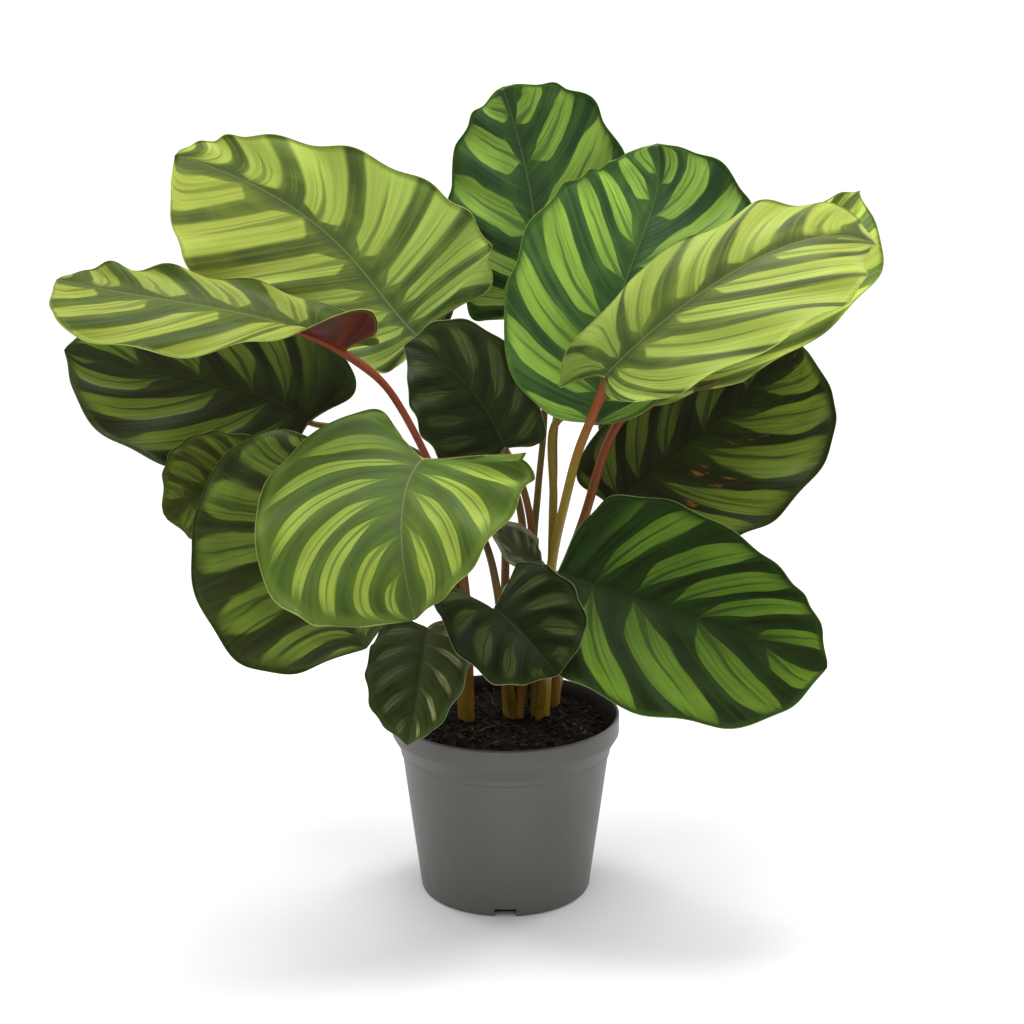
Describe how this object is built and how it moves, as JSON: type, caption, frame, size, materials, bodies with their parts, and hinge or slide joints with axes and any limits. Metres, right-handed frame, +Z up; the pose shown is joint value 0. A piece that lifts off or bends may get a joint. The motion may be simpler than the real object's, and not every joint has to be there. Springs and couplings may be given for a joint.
{
  "type": "potted house plant",
  "caption": "Bushy potted foliage plant with broad, oval, striped leaves on slender reddish petioles, in a plain tapered nursery pot with a rim band.",
  "frame": {"origin": "middle of the pot's flat foot, on the surface it stands on", "axes": "+Z up along the pot's axis, -Y towards the plant's front, +X to the right seen from the front"},
  "size_m": [0.4837, 0.3482, 0.487],
  "materials": {
    "pot": "smooth grey moulded plastic with a soft sheen",
    "soil": "dark, coarse, moist potting mix with bark bits",
    "petiole": "satin plant stem, olive at the foot and red below the leaf",
    "leaf_light": "satin leaf, pale yellow-green with grey-green stripes beside the side veins",
    "leaf_mid": "satin leaf, bright green with dark green stripes",
    "leaf_dark": "satin leaf, dark green with brighter green bands between the stripes"
  },
  "bodies": {
    "root": {"pot": "pot", "soil": "soil", "shoot_left": "petiole", "shoot_middle": "petiole", "shoot_right": "petiole", "shoot_back": "petiole", "leaf_upper_left": "leaf_light", "leaf_left": "leaf_light", "leaf_left_under": "leaf_dark", "leaf_top": "leaf_mid", "leaf_upper_right": "leaf_mid", "leaf_right": "leaf_light", "leaf_right_behind": "leaf_light", "leaf_right_dark": "leaf_dark", "leaf_lower_right": "leaf_dark", "leaf_front": "leaf_light", "leaf_lower_left": "leaf_dark", "leaf_small_left": "leaf_dark", "leaf_centre": "leaf_dark", "leaf_small_front": "leaf_dark", "leaf_over_rim": "leaf_dark", "leaf_small_inner": "leaf_dark", "leaf_back_left": "leaf_dark", "leaf_back_right": "leaf_mid", "leaf_back_low_right": "leaf_dark", "leaf_back_low_left": "leaf_dark"}
  },
  "joints": []
}
